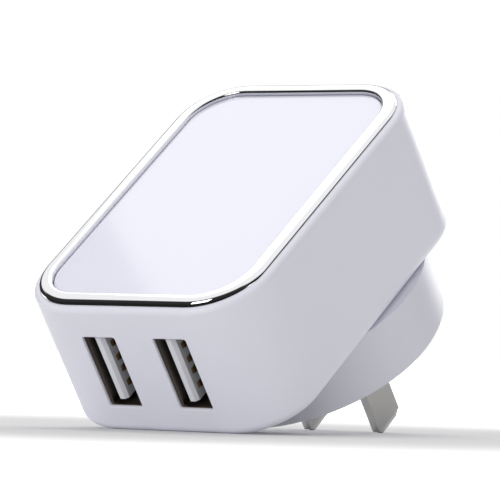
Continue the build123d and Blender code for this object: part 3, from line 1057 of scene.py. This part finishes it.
@dataclass
class Studio:
    """White floor, soft light and the camera.

    Args:
        camera_place: where the camera stands.
        camera_turn: its rotation, in degrees.
        lens: focal length on a 36 mm sensor, in millimetres.
        floor_radius: radius of the floor, in metres.
        shadow_pool_edge: distances from the middle between which the floor turns from only lit, a
            painted grey shadow pool round the charger, to glowing.
        floor_glow: how brightly the far floor glows.
        dark_floor: where the floor in front turns dark to gloss, along Y.
        sky: the surround's level for soft light.
        flag: level direction of the dark flag.
        flag_turn: how squarely a reflection has to face the flag.
        flag_height: upward share of a direction between which the flag fades.
        rim_height: upward share below which the whole surround is dark.
        flag_depth: how dark the flag is.
    """

    camera_place: tuple[float, float, float] = (0.393834, -0.559259, 0.012927)
    camera_turn: tuple[float, float, float] = (91.184913, -1.596957, 35.166732)
    lens: float = 329.538
    floor_radius: float = 5.0
    shadow_pool_edge: tuple[float, float] = (0.05, 0.17)
    floor_glow: float = 0.8
    dark_floor: tuple[float, float] = (-0.02, -0.04)
    sky: float = 0.6
    flag: tuple[float, float] = (-0.2, -0.98)
    flag_turn: tuple[float, float] = (0.05, 0.35)
    flag_height: tuple[float, float] = (0.62, 0.5)
    rim_height: tuple[float, float] = (0.5, 0.38)
    flag_depth: float = 0.97

    def build_camera(self) -> None:
        """Stand the camera."""
        data = bpy.data.cameras.new("studio_camera")
        data.lens = self.lens
        data.sensor_width = 36.0
        data.clip_start = 0.02
        data.clip_end = 30.0
        camera = bpy.data.objects.new("studio_camera", data)
        camera.location = self.camera_place
        camera.rotation_euler = [math.radians(turn) for turn in self.camera_turn]
        bpy.context.scene.collection.objects.link(camera)
        bpy.context.scene.camera = camera

    def build_floor(self) -> None:
        """Lay a wide round floor, with a painted grey shadow pool round the charger."""
        leave_edit()
        bpy.ops.object.select_all(action="DESELECT")
        bpy.ops.mesh.primitive_circle_add(
            vertices=96, radius=self.floor_radius, fill_type="NGON", location=(0.0, 0.0, 0.0)
        )
        floor = bpy.context.object
        floor.name = "studio_floor"
        material = bpy.data.materials.new("studio_white")
        material.use_nodes = True
        tree = material.node_tree
        tree.nodes.clear()
        out = tree.nodes.new("ShaderNodeOutputMaterial")
        paper = add(tree, "ShaderNodeBsdfDiffuse", Color=(0.82, 0.82, 0.82, 1.0))
        path = tree.nodes.new("ShaderNodeLightPath")
        seen = maths(tree, "MAXIMUM", (path, "Is Camera Ray"), (path, "Is Glossy Ray"))
        coordinates = tree.nodes.new("ShaderNodeTexCoord")
        away = add(tree, "ShaderNodeVectorMath", operation="LENGTH")
        link(tree, coordinates, "Object", away, 0)
        # Painted shadow: the glow is faded out round the middle, so the floor near the charger
        # stays a grey shadow pool.
        shadow_pool_fade = ramp(tree, (away, "Value"), self.shadow_pool_edge, (0.0, self.floor_glow), smooth=True)
        level = maths(tree, "MULTIPLY", (seen, "Value"), (shadow_pool_fade, "Result"))
        glow = add(tree, "ShaderNodeEmission", Color=(1.0, 1.0, 1.0, 1.0))
        link(tree, level, "Value", glow, "Strength")
        both = tree.nodes.new("ShaderNodeAddShader")
        link(tree, paper, "BSDF", both, 0)
        link(tree, glow, "Emission", both, 1)
        black = add(tree, "ShaderNodeBsdfDiffuse", Color=(0.02, 0.02, 0.02, 1.0))
        split = tree.nodes.new("ShaderNodeSeparateXYZ")
        link(tree, coordinates, "Object", split, 0)
        front = ramp(tree, (split, "Y"), self.dark_floor, smooth=True)
        hidden = maths(tree, "MULTIPLY", (front, "Result"), (path, "Is Glossy Ray"))
        flagged = tree.nodes.new("ShaderNodeMixShader")
        link(tree, hidden, "Value", flagged, 0)
        link(tree, both, "Shader", flagged, 1)
        link(tree, black, "BSDF", flagged, 2)
        link(tree, flagged, "Shader", out, "Surface")
        floor.data.materials.append(material)

    def build_world(self) -> None:
        """White surround, with a dark flag and a dark rim that only gloss sees."""
        world = bpy.data.worlds.new("studio_surround")
        bpy.context.scene.world = world
        world.use_nodes = True
        tree = world.node_tree
        tree.nodes.clear()
        out = tree.nodes.new("ShaderNodeOutputWorld")
        ground = add(tree, "ShaderNodeBackground", Color=(1.0, 1.0, 1.0, 1.0))
        link(tree, ground, "Background", out, "Surface")
        way = tree.nodes.new("ShaderNodeTexCoord")
        split = tree.nodes.new("ShaderNodeSeparateXYZ")
        link(tree, way, "Generated", split, 0)
        across = maths(tree, "MULTIPLY", (split, "X"), self.flag[0])
        towards = maths(tree, "MULTIPLY_ADD", (split, "Y"), self.flag[1], (across, "Value"))
        front = ramp(tree, (towards, "Value"), self.flag_turn, smooth=True)
        low = ramp(tree, (split, "Z"), self.flag_height, smooth=True)
        rim = ramp(tree, (split, "Z"), self.rim_height, smooth=True)
        flagged = maths(tree, "MULTIPLY", (front, "Result"), (low, "Result"))
        shade = maths(tree, "MAXIMUM", (flagged, "Value"), (rim, "Result"))
        gloss = maths(tree, "MULTIPLY_ADD", (shade, "Value"), -self.flag_depth, 1.0)
        path = tree.nodes.new("ShaderNodeLightPath")
        seen = maths(tree, "MAXIMUM", (path, "Is Camera Ray"), (path, "Is Transmission Ray"))
        mirrored = add(tree, "ShaderNodeMix", data_type="FLOAT")
        mirrored.inputs[2].default_value = self.sky
        link(tree, path, "Is Glossy Ray", mirrored, 0)
        link(tree, gloss, "Value", mirrored, 3)
        strength = add(tree, "ShaderNodeMix", data_type="FLOAT")
        strength.inputs[3].default_value = 1.0
        link(tree, seen, "Value", strength, 0)
        tree.links.new(mirrored.outputs[0], strength.inputs[2])
        tree.links.new(strength.outputs[0], ground.inputs["Strength"])

    def build_lamps(self) -> None:
        """Hang broad soft lamps overhead, low in front and low behind."""
        for name, place, size, power in (
            ("overhead_lamp", (-0.2, 0.3, 0.9), 0.8, 2.0),
            ("front_lamp", (-0.1, -1.0, 0.12), 0.5, 3.0),
            ("back_lamp", (-0.2, 1.3, 0.45), 0.6, 5.0),
        ):
            data = bpy.data.lights.new(name, "AREA")
            data.size = size
            data.energy = power
            lamp = bpy.data.objects.new(name, data)
            lamp.location = place
            lamp.rotation_euler = (-Vector(place)).to_track_quat("-Z", "Y").to_euler()
            bpy.context.scene.collection.objects.link(lamp)

    def build(self) -> None:
        """Build the whole studio."""
        scene = bpy.context.scene
        scene.view_settings.view_transform = "Standard"
        self.build_camera()
        self.build_floor()
        self.build_world()
        self.build_lamps()


def main() -> None:
    """Load the frame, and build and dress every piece."""
    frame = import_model()
    nodes = frame["nodes"]
    bench = Bench(frame["record"])
    shop = FinishShop(bench, Effects())
    enclosure = Enclosure(bench, shop, nodes)
    enclosure.dress()
    enclosure.build_ring()
    Plug(shop, nodes).dress()
    sockets = Sockets(bench, shop, nodes)
    sockets.dress()
    sockets.build()
    Works(shop, nodes).dress()
    Studio().build()


if __name__ == "__main__":
    logging.basicConfig(level=logging.INFO, format="%(message)s")
    main()
